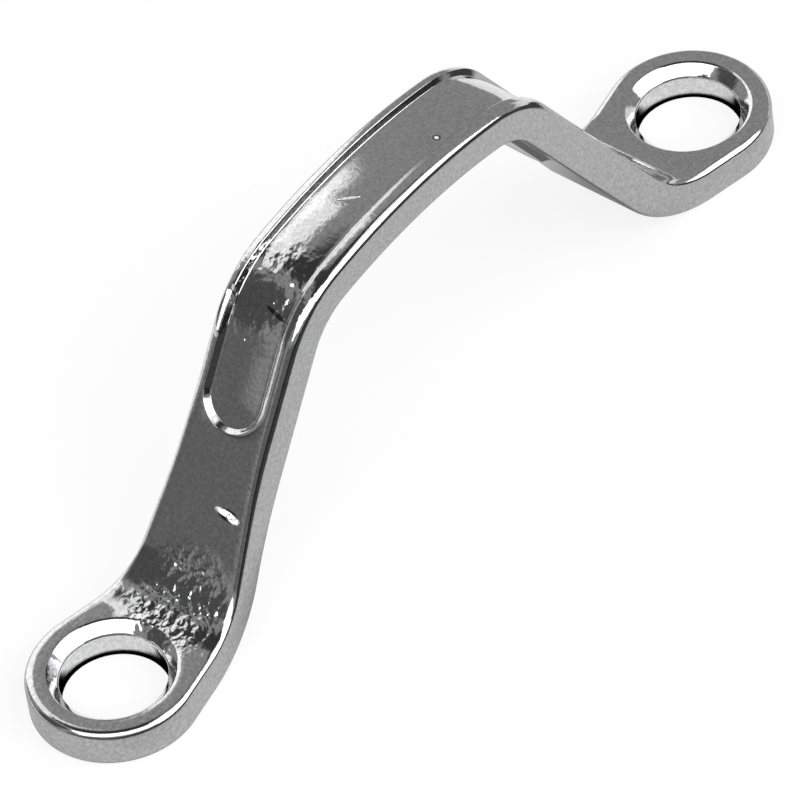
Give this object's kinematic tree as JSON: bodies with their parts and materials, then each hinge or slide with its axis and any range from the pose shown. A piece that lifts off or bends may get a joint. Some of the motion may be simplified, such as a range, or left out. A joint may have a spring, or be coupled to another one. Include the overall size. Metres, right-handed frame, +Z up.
{
  "type": "fender eye",
  "caption": "Bridge-shaped strap eye of polished stainless steel with two flat drilled feet, made to hold a fender lanyard on deck.",
  "frame": {"origin": "on the seat plane under the feet, halfway between the two screw holes", "axes": "+X along the strap from hole to hole, +Y across the strap, +Z up from the seat through the top of the bridge"},
  "size_m": [0.0712, 0.0112, 0.0225],
  "materials": {
    "polished_stainless": "polished, with a fine grain"
  },
  "bodies": {
    "root": {"fender_eye": "polished_stainless"}
  },
  "joints": []
}
